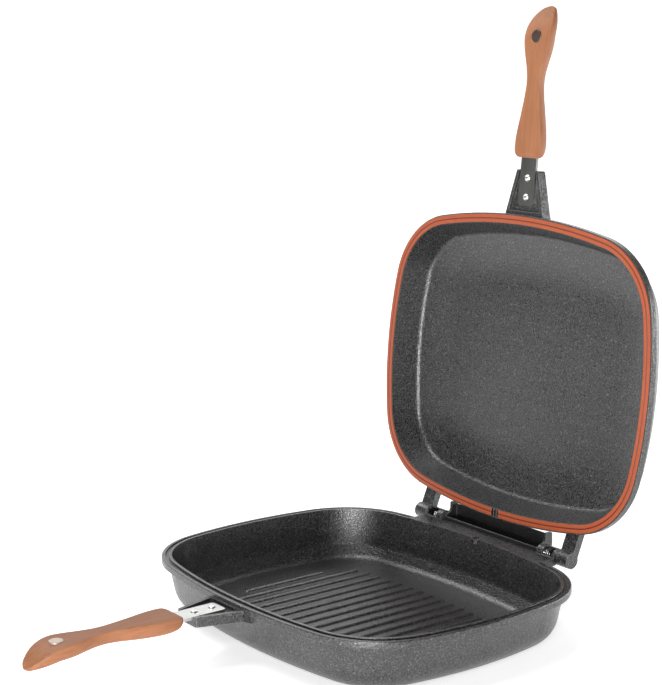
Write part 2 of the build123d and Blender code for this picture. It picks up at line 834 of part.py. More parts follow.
# ---------------------------------------------------------------- write the nodes
save("lower_pan", lower_pan())
save("upper_pan", opened(upper_pan()))
save("gasket", opened(gasket()))
save("drip_tray", drip_tray())
save("drip_tray_screws", *tray_screws())
for side, flip in (("right", lambda piece: piece), ("left", lambda piece: mirror(piece, about=Plane.YZ))):
    save(f"{side}_hinge_pin", flip(hinge_pin()))
    save(f"{side}_thumb_stud", flip(thumb_stud()))
    save(f"{side}_pin_spring", flip(pin_spring()))
    save(f"{side}_spring_plug", flip(spring_plug()))
for node, piece in (
    ("strap", strap()), ("grip", grip()), ("magnet", magnet()), ("grip_screw", grip_screw()),
):
    save(f"lower_{node}", piece)
    save(f"upper_{node}", opened(to_upper(piece)))
save("lower_rivets", *rivets())
save("upper_rivets", *[opened(to_upper(piece)) for piece in rivets()])
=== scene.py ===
# %% [markdown]
# # A double sided flip pan
#
# The pan comes as a imported CAD model: two castings on a hinge, a seal, a drip tray, sprung hinge pins and
# two handles. Here it gets its looks. The castings, straps, rivets and pins keep their CAD meshes and get
# materials. The seal and the grips are soft moulded shapes, so they are made again as smooth surfaces, and
# the springs are made again as meshes of their own.

# %% The imported frame
import json
import bpy
import numpy as np
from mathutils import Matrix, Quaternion, Vector


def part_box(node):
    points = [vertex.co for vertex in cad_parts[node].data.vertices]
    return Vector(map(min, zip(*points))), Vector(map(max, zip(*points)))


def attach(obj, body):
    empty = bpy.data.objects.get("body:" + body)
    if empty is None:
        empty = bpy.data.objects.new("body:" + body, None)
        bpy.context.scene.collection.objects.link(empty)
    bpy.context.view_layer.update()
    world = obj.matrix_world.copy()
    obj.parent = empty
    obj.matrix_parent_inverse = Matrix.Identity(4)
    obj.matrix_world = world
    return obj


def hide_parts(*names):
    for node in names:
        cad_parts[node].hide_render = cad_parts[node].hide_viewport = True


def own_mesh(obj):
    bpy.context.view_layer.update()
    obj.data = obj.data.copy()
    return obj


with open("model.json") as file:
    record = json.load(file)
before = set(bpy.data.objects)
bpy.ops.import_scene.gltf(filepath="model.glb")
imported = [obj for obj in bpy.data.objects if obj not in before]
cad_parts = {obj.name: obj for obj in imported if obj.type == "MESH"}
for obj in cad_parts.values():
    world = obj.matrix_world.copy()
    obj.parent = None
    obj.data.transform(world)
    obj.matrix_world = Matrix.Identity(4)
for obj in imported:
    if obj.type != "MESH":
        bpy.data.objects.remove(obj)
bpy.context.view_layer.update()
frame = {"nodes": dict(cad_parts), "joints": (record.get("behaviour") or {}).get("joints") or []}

print("nodes:", ", ".join(sorted(frame["nodes"])))

# %% [markdown]
# ## Places that everything else hangs on
#
# The rim is a rounded square made of eight arcs. The two pans meet in a level plane when they are shut, and
# that plane is the natural place to measure from: every moulded piece is drawn shut, against the plane, and
# the lid's pieces are then swung open about the hinge by the angle that the joint states.

# %% Driving sizes
MM = 0.001
half_width = 180.0 * MM
half_depth = 147.5 * MM
side_radius = 411.0 * MM
end_radius = 599.0 * MM
corner_radius = 80.0 * MM
parting = 51.5 * MM
rim_front = -half_depth


def joint_named(name):
    """The frame's entry for one joint."""
    return next(joint for joint in frame["joints"] if joint["name"] == name)


lid_joint = joint_named("lid_hinge")
hinge_y, hinge_z = lid_joint["pos_m"][1:]
opening = np.radians(lid_joint["range_deg"][1])
print("hinge at y, z:", hinge_y, hinge_z, "opening in degrees:", np.degrees(opening))


# %% Opening the lid
def swing_open(points):
    """Turn shut lid points open: each point turns by the opening angle about the hinge line, which runs
    along X. Its height and depth from the line mix as cosine and sine of the angle."""
    y = points[..., 1] - hinge_y
    z = points[..., 2] - hinge_z
    turned_y = y * np.cos(opening) + z * np.sin(opening)
    turned_z = z * np.cos(opening) - y * np.sin(opening)
    return np.stack([points[..., 0], hinge_y + turned_y, hinge_z + turned_z], axis=-1)


def in_lid(points):
    """Move lower-handle points to the lid's handle: mirror them in the parting plane, then swing them
    open."""
    mirrored = points * [1, 1, -1] + [0, 0, 2 * parting]
    return swing_open(mirrored)


print("the lid's front at the parting plane:", np.round(swing_open(np.array([0, rim_front, parting])), 4))

# %% [markdown]
# ## From a grid of points to a mesh
#
# A moulded surface is easiest to describe as a function of two numbers: how far along, and how far round.
# Working it out for a whole grid at once gives an array of points, and neighbouring points make the faces.
# The grid closes on itself, as a tube does, and each end closes to the middle of its ring.

# %% Grid to mesh
def mesh_from_grid(name, grid):
    """Build a closed, smooth mesh from a (along, round, xyz) grid.

    Each face joins point (i, j) to (i, j+1), (i+1, j+1) and (i+1, j), and round the tube j+1 wraps to 0.
    Each end is closed by a fan to the middle of its ring. The UV map holds (round, along)."""
    rows, columns = grid.shape[:2]
    i, j = np.meshgrid(np.arange(rows - 1), np.arange(columns), indexing="ij")
    right = (j + 1) % columns
    faces = np.stack([i * columns + j, i * columns + right,
                      (i + 1) * columns + right, (i + 1) * columns + j], axis=-1).reshape(-1, 4)
    corner_uv = np.stack([
        np.stack([j, j + 1, j + 1, j], -1) / columns,
        np.stack([i, i, i + 1, i + 1], -1) / (rows - 1)], axis=-1).reshape(-1, 2)
    points = np.concatenate([grid.reshape(-1, 3), [grid[0].mean(axis=0), grid[-1].mean(axis=0)]])
    first_middle = rows * columns
    last_ring = first_middle - columns
    ring = np.arange(columns)
    after = (ring + 1) % columns
    start = np.stack([after, ring, np.full(columns, first_middle)], axis=-1)
    finish = np.stack([last_ring + ring, last_ring + after, np.full(columns, first_middle + 1)], axis=-1)
    fans = np.concatenate([start, finish])
    fan_uv = np.stack([np.tile([0.0, 0.5, 0.25], 2 * columns), np.repeat([0.0, 1.0], 3 * columns)], axis=-1)
    mesh = bpy.data.meshes.new(name)
    mesh.from_pydata(points, [], faces.tolist() + fans.tolist())
    mesh.uv_layers.new(name="around").data.foreach_set("uv", np.concatenate([corner_uv, fan_uv]).ravel())
    mesh.polygons.foreach_set("use_smooth", np.full(len(mesh.polygons), True))
    mesh.update()
    piece = bpy.data.objects.new(name, mesh)
    bpy.context.scene.collection.objects.link(piece)
    print(name, len(mesh.vertices), "points,", len(mesh.polygons), "faces")
    return piece


def smooth_through(at, stations, values):
    """A smooth curve through given stations, read at many places at once.

    Between two stations it is the cubic whose slope at each station is that of the line through the
    neighbours on both sides, so the curve has no kink."""
    stations = np.asarray(stations, float)
    values = np.asarray(values, float)
    slopes = np.gradient(values, stations)
    k = np.clip(np.searchsorted(stations, at, side="right") - 1, 0, len(stations) - 2)
    span = stations[k + 1] - stations[k]
    t = np.clip((at - stations[k]) / span, 0, 1)
    rise = t * t * (3 - 2 * t)
    return (values[k] * (1 - rise) + values[k + 1] * rise
            + slopes[k] * span * t * (1 - t) ** 2 - slopes[k + 1] * span * t * t * (1 - t))


# %% [markdown]
# ## The rim's outline
#
# The long sides and the corners are arcs that share their tangents where they meet, so one line can run
# round all eight with no kink. Moving the line inwards only shortens the radii, which keeps every inner
# line parallel to the rim. That is how a casting's rim, groove and lip follow each other.

# %% Rim outline
def corner_centre():
    """Centre of the front-right corner arc: the point whose distances from the two long arcs' centres are
    their radii less the corner's radius."""
    side_x = half_width - side_radius
    end_y = half_depth - end_radius
    to_side = side_radius - corner_radius
    to_end = end_radius - corner_radius
    span = np.hypot(side_x, end_y)
    along = (to_side**2 - to_end**2 + span**2) / (2 * span)
    across = np.sqrt(to_side**2 - along**2)
    ux, uy = -side_x / span, end_y / span
    return side_x + along * ux - across * uy, along * uy + across * ux


def rim_arcs():
    """One row per arc, going round from the right side: centre x, centre y, radius, start and turn."""
    cx, cy = corner_centre()
    side_x, end_y = half_width - side_radius, half_depth - end_radius
    low = np.arctan2(cy, cx - side_x)
    high = np.arctan2(cy - end_y, cx)
    quarter = [(side_x, 0, side_radius, -low, 2 * low), (cx, cy, corner_radius, low, high - low),
               (0, end_y, end_radius, high, np.pi - 2 * high),
               (-cx, cy, corner_radius, np.pi - high, high - low)]
    half = np.array(quarter)
    return np.concatenate([half, half * [-1, -1, 1, 1, 1] + [0, 0, 0, np.pi, 0]])


def rim_line(inset, count, gap):
    """Points along the rim, moved in by each inset, from one side of a gap at the back to the other.

    The length travelled picks the arc, and what is left over, divided by the radius, is the angle on it.
    The result has one row per place along and one column per inset."""
    arcs = rim_arcs()
    lengths = np.concatenate([[0], np.cumsum(arcs[:, 2] * arcs[:, 4])])
    back = lengths[2] + (lengths[3] - lengths[2]) / 2
    travelled = (back + np.linspace(gap / 2, lengths[-1] - gap / 2, count)) % lengths[-1]
    k = np.clip(np.searchsorted(lengths, travelled, side="right") - 1, 0, len(arcs) - 1)
    angle = arcs[k, 3] + (travelled - lengths[k]) / arcs[k, 2]
    radius = arcs[k, 2][:, None] - np.asarray(inset)[None, :]
    x = arcs[k, 0][:, None] + radius * np.cos(angle)[:, None]
    y = arcs[k, 1][:, None] + radius * np.sin(angle)[:, None]
    return np.stack([x, y], axis=-1)


print("corner centre in mm:", np.round(np.array(corner_centre()) / MM, 2))

# %% [markdown]
# ## The seal
#
# A silicone seal sits in a groove in the lid's rim. It has two crowns with a narrow valley between them. When
# the pan is shut, the inner crown stands over the lower pan's lip and the outer one over its groove. The
# seal stops short at the steam vent at the back. The piece is one profile carried along the rim, and its UV
# map later places painted shade in the valley and along the crowns' edges.

# %% Seal
groove_start = 2.95 * MM
groove_end = 9.85 * MM
crown_start = 2.75 * MM
crown_end = 11.0 * MM
seal_seat = 4.75 * MM
seal_crown = -0.3 * MM
seal_fall = 0.84 * MM
seal_gap = 9.2 * MM
root_step = 0.03 * MM
crown_power = 3.2
crown_points = 33
root_points = 4
seal_rings = 1100


def seal_profile():
    """Inset and height of the seal's section. Across the open side, each half is a crown: its height falls
    off as one minus the n-th root of one minus the n-th power of the distance from the crown's top, with n
    a little over three, so the crown is broad and its sides are steep. The root is a box in the groove."""
    across = np.linspace(0, 1, crown_points)
    from_top = np.abs(2 * (2 * across % 1) - 1)
    from_top[-1] = 1
    fall = 1 - (1 - from_top**crown_power) ** (1 / crown_power)
    crown_inset = crown_start + across * (crown_end - crown_start)
    root_inset = np.array([groove_end, groove_end, groove_start, groove_start])
    under = seal_crown + seal_fall + root_step
    return (np.concatenate([crown_inset, root_inset]),
            np.concatenate([seal_crown + seal_fall * fall, [under, seal_seat, seal_seat, under]]))


def make_seal():
    """Carry the profile along the rim and swing it open with the lid."""
    inset, height = seal_profile()
    line = rim_line(inset, seal_rings, seal_gap)
    z = np.broadcast_to(parting + height, line.shape[:2])
    grid = swing_open(np.concatenate([line, z[..., None]], axis=-1))
    return mesh_from_grid("seal", grid[:, ::-1])


seal = make_seal()
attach(seal, "lid")
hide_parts("gasket")

# %% [markdown]
# ## The grips
#
# Each grip is a moulding with a flat inner face, so that the two lie together when the pan is shut. The
# sides are upright for a few millimetres and then round into a full back. In plan it is broad where the
# thumb rests, narrow at the waist and broad again at the end, where the face curves away. A loft between
# sections is the natural tool: the width, face and back are smooth curves along the length, and each
# section is a superellipse, nearly square on the face side and round on the back.

# %% Grip shape
grip_start = 51.8 * MM
grip_length = 141.2 * MM
grip_face = 0.6 * MM
grip_thickness = 15.6 * MM
face_curve_start = 158.0 * MM
face_curve_radius = 45.5 * MM
back_slope = 0.16
back_slope_delay = 8 * MM
strap_end_round = 6.5 * MM
tip_round = 2.5 * MM
strap_end_width = 0.62
strap_end_depth = 0.45
first_ring_depth = 0.2
tip_width = 0.45
side_share = 0.3
side_height = 4.5 * MM
face_squareness = 9.0
back_squareness = 2.15
end_crowding = 0.35
grip_rings = 420
grip_ring_points = 112

mark_places = np.array([76.0, 79.4, 82.8]) * MM
mark_bend = 1.2 * MM
mark_bend_length = 3.2 * MM
mark_drop = 0.45 * MM
mark_half_width = 0.55 * MM
mark_reach = 7.0 * MM
mark_fade_start = 1.5
mark_side_power = 0.2

width_stations = np.array([57, 62, 68, 76, 86, 98, 110, 120, 130, 140, 149, 158, 166, 174, 181, 187, 191,
                           193]) * MM
half_widths = np.array([16.8, 17.1, 16.9, 15.8, 13.7, 11.3, 9.2, 8.1, 8.9, 11.4, 14.1, 16.0, 16.5, 15.8, 13.6,
                        10.2, 6.6, 3.0]) * MM
back_stations = np.array([52, 57, 62, 68, 76, 86, 98, 110, 120, 130, 140, 149, 158, 166, 181, 187, 193]) * MM
back_rises = np.array([2.6, 1.4, 0.4, 0, 0, 0.4, 1.4, 2.6, 3.1, 2.8, 1.8, 0.8, 0.2, 0, 0.1, 0.5, 1.2]) * MM


def end_rounding(distance, radius):
    """Share of the full size near a rounded end: a quarter circle that grows from nothing at the end itself
    to the full size one radius in."""
    into = np.clip(distance / radius, 0, 1)
    return np.sqrt(1 - (1 - into) ** 2)


def grown(least, share):
    """A size that starts at its least part of the whole and grows to all of it as the share goes to one."""
    return least + (1 - least) * share


def grip_grid(along_count, round_count):
    """The lower grip as a grid. Along it, places crowd together at both ends, as the cosine of an even
    angle does. Round it, each section is a superellipse: x follows the cosine and z the sine of the angle,
    each raised to a power that is small on the face side, for a square edge, and near one on the back."""
    t = (1 - np.cos(np.linspace(0, np.pi, along_count))) / 2
    t = end_crowding * t + (1 - end_crowding) * np.linspace(0, 1, along_count)
    at = grip_start + t * grip_length
    half = smooth_through(at, width_stations, half_widths)
    past = np.clip(at - face_curve_start, 0, None)
    face = grip_face + face_curve_radius - np.sqrt(face_curve_radius**2 - past**2)
    back = grip_face + grip_thickness + back_slope * np.clip(past - back_slope_delay, 0, None)
    back = back - smooth_through(at, back_stations, back_rises)
    near = end_rounding(at - grip_start, strap_end_round)
    far = end_rounding(grip_start + grip_length - at, tip_round)
    half = half * grown(strap_end_width, near) * grown(tip_width, far)
    middle = face + np.minimum((back - face) * side_share, side_height)
    near = grown(strap_end_depth, near)
    near[0] = first_ring_depth
    rise = (middle - face) * near * far
    depth = (back - middle) * near * far
    angle = np.linspace(0, 2 * np.pi, round_count, endpoint=False)
    cosine, sine = np.cos(angle), np.sin(angle)
    on_face = sine > 0
    power = np.where(on_face, 2 / face_squareness, 2 / back_squareness)
    x = half[:, None] * (np.sign(cosine) * np.abs(cosine) ** power)[None, :]
    reach = np.where(on_face[None, :], rise[:, None], depth[:, None])
    z = -middle[:, None] + reach * (np.sign(sine) * np.abs(sine) ** power)[None, :]
    z = z - mark_depth(at[:, None], x) * np.clip(sine, 0, 1)[None, :] ** mark_side_power
    y = np.broadcast_to(rim_front - at[:, None], x.shape)
    return np.stack([x, y, parting + z], axis=-1)


def mark_depth(at, x):
    """Three shallow grooves across the face. Each line bends as the cosine of the distance from the middle,
    and its section is a bell: the exponential of minus the squared distance from its line."""
    depth = np.zeros(np.broadcast(at, x).shape)
    for place in mark_places:
        line = place + mark_bend * np.cos(x / mark_bend_length)
        depth += mark_drop * np.exp(-((at - line) / mark_half_width) ** 2)
    inside = np.clip(mark_fade_start - np.abs(x) / mark_reach, 0, 1)
    return depth * inside


grip_points = grip_grid(grip_rings, grip_ring_points)
lower_grip = mesh_from_grid("lower_handle_grip", grip_points[:, ::-1])
upper_grip = mesh_from_grid("upper_handle_grip", in_lid(grip_points))
for grip, body, node in ((lower_grip, "lower", "lower_grip"), (upper_grip, "lid", "upper_grip")):
    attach(grip, body)
    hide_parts(node)

# %% [markdown]
# ## The pin springs
#
# Behind each hinge pin a coil spring sits in the barrel and shows through its window. When a thumb draws the
# pin back, the spring shortens against its plug. A rigid mesh would be cut by the pin's collar, so each
# coil is made as a piece of its own with its own mesh, and the script prints how much of its length is left
# when the pin is drawn fully back.

# %% Pin springs
wire_radius = 0.45 * MM
spring_turns = 5
spring_rings = 300
wire_points = 14


def spring_grid(low, high, along_count, round_count):
    """A coil spring that fills the box from low to high. Its wire's middle goes round a circle, as cosine and
    sine of the turn, while it moves along X in step with the turn. Each point of the wire's skin lies a wire
    radius from there, in the plane across the wire."""
    middle = (low + high) / 2
    coil_radius = (high[1] - low[1]) / 2 - wire_radius
    run = high[0] - low[0] - 2 * wire_radius
    turn = np.linspace(0, 2 * np.pi * spring_turns, along_count)
    outward = np.stack([np.zeros_like(turn), np.cos(turn), np.sin(turn)], axis=-1)
    rise = run / turn[-1]
    forward = np.stack([np.full_like(turn, rise),
                        -coil_radius * np.sin(turn), coil_radius * np.cos(turn)], axis=-1)
    forward /= np.linalg.norm(forward, axis=-1, keepdims=True)
    sideways = np.cross(forward, outward)
    line = middle + coil_radius * outward
    line[:, 0] = low[0] + wire_radius + rise * turn
    angle = np.linspace(0, 2 * np.pi, round_count, endpoint=False)[None, :, None]
    skin = np.cos(angle) * outward[:, None] + np.sin(angle) * sideways[:, None]
    return line[:, None] + wire_radius * skin


springs = []
for side, fixed_end in (("right", 0), ("left", 1)):
    node = f"{side}_pin_spring"
    corners = [np.array(corner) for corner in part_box(node)]
    spring = mesh_from_grid(f"{side}_coil_spring", spring_grid(*corners, spring_rings, wire_points))
    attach(spring, "lower")
    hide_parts(node)
    travel = joint_named(f"{side}_pin_slide")["range_m"][1]
    left_over = 1 - travel / (corners[1][0] - corners[0][0])
    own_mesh(spring)
    springs.append(spring)
    print(side, "spring shortens to", round(left_over, 3), "of its length")

# %% [markdown]
# ## Writing shader sums in Python
#
# Blender's materials are graphs of nodes. Wiring them by hand hides the arithmetic, so a small class stands
# for one wire and lets it be added, multiplied and so on: each sum adds the Math node for it. A second
# class holds one material's nodes and has a single method that adds any kind of node.

# %% Wires and benches
class Wire:
    """One output socket. Sums written with it add Math nodes to its material."""

    def __init__(self, bench, socket):
        self.bench = bench
        self.socket = socket

    def math(self, operation, first, second=0.0):
        return self.bench.add("ShaderNodeMath", {"operation": operation}, {0: first, 1: second})

    def __add__(self, other):
        return self.math("ADD", self, other)

    def __radd__(self, other):
        return self.math("ADD", other, self)

    def __sub__(self, other):
        return self.math("SUBTRACT", self, other)

    def __rsub__(self, other):
        return self.math("SUBTRACT", other, self)

    def __mul__(self, other):
        return self.math("MULTIPLY", self, other)

    def __rmul__(self, other):
        return self.math("MULTIPLY", other, self)

    def __truediv__(self, other):
        return self.math("DIVIDE", self, other)

    def step(self, low, high):
        """0 below low, 1 above high, and a smooth ramp between."""
        inputs = {"Value": self, "From Min": low, "From Max": high}
        return self.bench.add("ShaderNodeMapRange", {"interpolation_type": "SMOOTHSTEP"}, inputs)


class Bench:
    """The node tree of one new material."""

    def __init__(self, name):
        self.material = bpy.data.materials.new(name)
        self.material.use_nodes = True
        self.tree = self.material.node_tree
        self.tree.nodes.clear()
        self.place = self.add("ShaderNodeTexCoord", output="Object")

    def add(self, kind, settings=None, inputs=None, output=0):
        """Add one node: its settings first, then a value or a wire for each input. Returns one output."""
        node = self.tree.nodes.new(kind)
        for name, value in (settings or {}).items():
            setattr(node, name, value)
        for name, value in (inputs or {}).items():
            if isinstance(value, Wire):
                self.tree.links.new(value.socket, node.inputs[name])
            else:
                node.inputs[name].default_value = value
        return Wire(self, node.outputs[output])

    def stretched(self, scale, turn=(0, 0, 0)):
        """Object coordinates turned and then scaled by a factor along each axis."""
        as_point = {"vector_type": "POINT"}
        turned = self.add("ShaderNodeMapping", as_point, {"Vector": self.place, "Rotation": turn})
        return self.add("ShaderNodeMapping", as_point, {"Vector": turned, "Scale": scale})

    def noise(self, scale, detail=2.0, roughness=0.5, where=None):
        """Fractal noise between about 0 and 1, at a number of features per metre."""
        inputs = {"Vector": where or self.place, "Scale": scale, "Detail": detail, "Roughness": roughness}
        return self.add("ShaderNodeTexNoise", {"noise_dimensions": "3D"}, inputs)

    def blend(self, share, first, second):
        """A colour between two colours."""
        return self.add("ShaderNodeMix", {"data_type": "RGBA"}, {0: share, 6: first, 7: second}, output=2)

    def bump(self, height, depth):
        """A surface normal that leans as a height map of that depth in metres would make it."""
        return self.add("ShaderNodeBump", None, {"Height": height, "Distance": depth, "Strength": 1.0})

    def edges(self, radius):
        """1 on convex and concave edges and 0 on flats: how far a rounded normal leans from the true one."""
        rounded = self.add("ShaderNodeBevel", {"samples": 6}, {"Radius": radius})
        true = self.add("ShaderNodeNewGeometry", output="Normal")
        alike = self.add("ShaderNodeVectorMath", {"operation": "DOT_PRODUCT"},
                         {0: rounded, 1: true}, output="Value")
        return (1 - alike).step(0.01, 0.2)

    def finish(self, **sockets):
        """Close the material with a Principled shader. Underscores in the names stand for spaces."""
        inputs = {name.replace("_", " "): value for name, value in sockets.items()}
        shader = self.add("ShaderNodeBsdfPrincipled", None, inputs)
        surface = self.tree.nodes.new("ShaderNodeOutputMaterial").inputs["Surface"]
        self.tree.links.new(shader.socket, surface)
        return self.material


print("wires and benches ready")

# %% [markdown]
# ## Non-stick coating
#
# The castings are sprayed with a charcoal coating. Close to, it is a pebbled skin with pale and dark flecks
# about a millimetre across, and it shines more on the high spots. Along the edges a painted highlight
# makes the colour a little paler.

# %% Coated casting
pale_fleck = (0.3, 0.3, 0.305, 1)
dark_pit = (0.006, 0.006, 0.006, 1)
# painted highlight: a paler grey for the castings' edges, and the radius that finds those edges
casting_edge_highlight = (0.26, 0.26, 0.26, 1)
casting_highlight_radius = 1.1 * MM
pebble_depth = 0.55 * MM


def coated_casting(name, dark, pale, shine, flecks):
    """Charcoal coating: a slow mottle, flecks and pits in the colour, and a pebbled bump."""
    b = Bench(name)
    mottle = b.noise(14, detail=3)
    grain = b.noise(760, detail=2.0, roughness=0.75)
    fleck = b.noise(720, detail=1.0).step(0.58, 0.68)
    pit = b.noise(560, detail=1.0).step(0.58, 0.68)
    tone = (grain - 0.5) * 4.2 + (mottle - 0.5) * 0.4 + 0.42
    body = b.blend(tone.step(0, 1), (*dark, 1), (*pale, 1))
    flecked = b.blend(fleck * flecks, body, pale_fleck)
    pitted = b.blend(pit * 0.7, flecked, dark_pit)
    # painted highlight: the edges are blended towards the paler grey
    colour = b.blend(b.edges(casting_highlight_radius) * 0.6, pitted, casting_edge_highlight)
    rough = shine + (grain - 0.5) * 0.36 + (mottle - 0.5) * 0.08
    skin = b.noise(540, detail=2.0, roughness=0.65)
    return b.finish(Base_Color=colour, Roughness=rough, Normal=b.bump(skin, pebble_depth), IOR=1.7)


casting = coated_casting("charcoal_coating", (0.004, 0.004, 0.0041), (0.04, 0.04, 0.041), 0.3, 0.3)
# painted shade: the drip tray, in the shadow between the pans, gets a near black copy of the coating with few
# flecks
tray_coating_painted_shade = coated_casting("black_tray_coating", (0.003, 0.003, 0.003), (0.009, 0.009, 0.009), 0.4, 0.05)
print("coatings made")


# %% [markdown]
# ## Silicone
#
# Moulded silicone is satin and orange. The valley between the crowns is painted dark red as shade, and
# painted shade darkens the crowns' outer edges and the valley's sides. The UV map says how far round the
# profile a point is.

# %% Silicone
def silicone():
    """Orange crowns with painted shade at their edges and a valley painted dark red as shade, found from the
    place round the profile, with a faint bloom.
    """
    b = Bench("orange_silicone")
    around = b.add("ShaderNodeUVMap", {"uv_map": "around"})
    round_share = b.add("ShaderNodeSeparateXYZ", None, {"Vector": around})
    points = crown_points + root_points
    across = (points - 1 - round_share * points) / (crown_points - 1)
    from_valley = b.add("ShaderNodeMath", {"operation": "ABSOLUTE"}, {0: across - 0.5})
    from_middle = b.add("ShaderNodeMath", {"operation": "ABSOLUTE"}, {0: from_valley - 0.25})
    crown = from_valley.step(0.03, 0.11)
    # painted shade: darkens the seal beside the valley and along its outer edges, where it meets the metal
    crease_shade = from_middle.step(0.17, 0.25) * 0.7
    bloom = b.noise(260, detail=3)
    orange = b.blend(bloom, (0.29, 0.055, 0.017, 1), (0.37, 0.085, 0.03, 1))
    orange_with_crease_shade = b.blend(crease_shade, orange, (0.07, 0.014, 0.008, 1))
    # painted shade: the valley is coloured dark red
    colour = b.blend(crown, (0.13, 0.012, 0.004, 1), orange_with_crease_shade)
    return b.finish(Base_Color=colour, Roughness=0.45 + bloom * 0.15, Normal=b.bump(bloom, 0.05 * MM))


seal.data.materials.append(silicone())
print("silicone made")


# %% [markdown]
# ## Wood-look moulding
#
# The grips are a plastic moulding in a copper brown with a satin skin. Faint streaks run along them like a
# wood grain. The streaks are noise stretched along the grip.

# %% Grip moulding
pore_colour = (0.17, 0.06, 0.025, 1)
# painted highlight: a pale copper for the grips' edges, and the radius that finds those edges
grip_edge_highlight = (0.7, 0.42, 0.24, 1)
grip_highlight_radius = 1.2 * MM
streak_depth = 0.04 * MM


def grip_moulding(name, turn):
    """Copper brown with lengthwise streaks, small pores and a satin skin; a painted highlight makes the edges
    paler.
    """
    b = Bench(name)
    length = b.stretched((1, 0.06, 1), turn)
    streak = b.noise(420, detail=4, roughness=0.6, where=length)
    broad = b.noise(90, detail=2, where=length)
    pore = b.noise(1500, detail=1, where=b.stretched((1, 0.1, 1), turn)).step(0.66, 0.75)
    tone = (streak - 0.5) * 1.3 + (broad - 0.5) * 0.9 + 0.5
    body = b.blend(tone.step(0, 1), (0.235, 0.09, 0.038, 1), (0.335, 0.138, 0.062, 1))
    pored = b.blend(pore * 0.35, body, pore_colour)
    # painted highlight: the edges are blended towards the pale copper
    colour = b.blend(b.edges(grip_highlight_radius) * 0.8, pored, grip_edge_highlight)
    rough = 0.6 + (streak - 0.5) * 0.2
    return b.finish(Base_Color=colour, Roughness=rough, Normal=b.bump(streak, streak_depth), IOR=1.42)


lower_grip.data.materials.append(grip_moulding("copper_brown_grip_lower", (0, 0, 0)))
upper_grip.data.materials.append(grip_moulding("copper_brown_grip_upper", (opening, 0, 0)))
print("grip mouldings made")


# %% [markdown]
# ## Metals
#
# The straps are stainless sheet, brushed along their length: fine scratches make the shine streaky. The lid's
# strap is the same steel coloured darker as painted shade. Rivets, springs and screws are brighter. The hinge
# pins and thumb studs are coloured near black as painted shade, and the magnets are plated; the lid's magnet
# is coloured darker as painted shade.

# %% Metals
def metal(name, colour, worn, roughness, scratch_scale, turn=(0, 0, 0)):
    """Steel whose colour and shine vary with fine scratches and in soft smudges. A small scale along one
    axis draws the scratches out along it."""
    b = Bench(name)
    scratch = b.noise(2600, detail=3, roughness=0.7, where=b.stretched(scratch_scale, turn))
    smudge = b.noise(70, detail=3)
    tone = (scratch - 0.5) * 0.8 + (smudge - 0.5) * 0.6 + 0.5
    mixed = b.blend(tone.step(0, 1), (*worn, 1), (*colour, 1))
    rough = roughness + (scratch - 0.5) * 0.25 + (smudge - 0.5) * 0.15
    return b.finish(Base_Color=mixed, Metallic=1.0, Roughness=rough, Normal=b.bump(scratch, 0.012 * MM))


along = (1, 0.03, 1)
strap_lower = metal("brushed_strap_lower", (0.72, 0.72, 0.7), (0.55, 0.55, 0.54), 0.3, along)
# painted shade: the lid's strap is the same steel as the lower one, coloured about half as bright
strap_upper_painted_shade = metal("brushed_strap_upper", (0.34, 0.34, 0.332), (0.23, 0.23, 0.225), 0.34, along,
                    (opening, 0, 0))
bright = metal("bright_steel", (0.85, 0.85, 0.84), (0.7, 0.7, 0.69), 0.3, (1, 1, 1))
# painted shade: the pins and thumb studs are coloured near black for the shade in the barrels' windows
steel_painted_shade = metal("oiled_dark_steel", (0.04, 0.04, 0.04), (0.015, 0.015, 0.015), 0.5, (1, 1, 1))
magnet_lower = metal("plated_magnet", (0.5, 0.42, 0.37), (0.36, 0.3, 0.26), 0.55, (1, 1, 1))
# painted shade: the lid's magnet is the same plated magnet as the lower one, coloured darker
magnet_upper_painted_shade = metal("dulled_magnet", (0.26, 0.2, 0.17), (0.11, 0.08, 0.07), 0.45, (1, 1, 1))
print("metals made")

# %% Materials on the CAD nodes
finishes = {
    casting: ("lower_pan", "upper_pan", "right_spring_plug", "left_spring_plug"),
    tray_coating_painted_shade: ("drip_tray",),
    strap_lower: ("lower_strap",),
    strap_upper_painted_shade: ("upper_strap",),
    bright: ("lower_rivets", "upper_rivets", "lower_grip_screw", "upper_grip_screw", "drip_tray_screws"),
    steel_painted_shade: ("right_hinge_pin", "left_hinge_pin", "right_thumb_stud", "left_thumb_stud"),
    magnet_lower: ("lower_magnet",),
    magnet_upper_painted_shade: ("upper_magnet",),
}
for material, names in finishes.items():
    for name in names:
        slots = frame["nodes"][name].data.materials
        slots.clear()
        slots.append(material)
        print(name, "gets", material.name)
for spring in springs:
    spring.data.materials.append(bright)

# %% [markdown]
# ## The studio
#
# A pale sweep of paper curves from floor to wall with no line between them. Dark satin metal shows its form
# by what it mirrors, so each soft panel stands where a surface will mirror it. A rounded inside corner of the
# lid looks back at the camera and down, so a low panel beside the camera draws a bright line along it. The
# lid's outer side mirrors what is behind it, and the lower pan's inside corners mirror high panels on the
# left and at the back.

# %% Floor and backdrop
paper_turn = np.radians(52.8)
paper_front = -3.0
bend_start = 1.8
bend_radius = 1.2
paper_end = 4.5
paper_half_width = 4


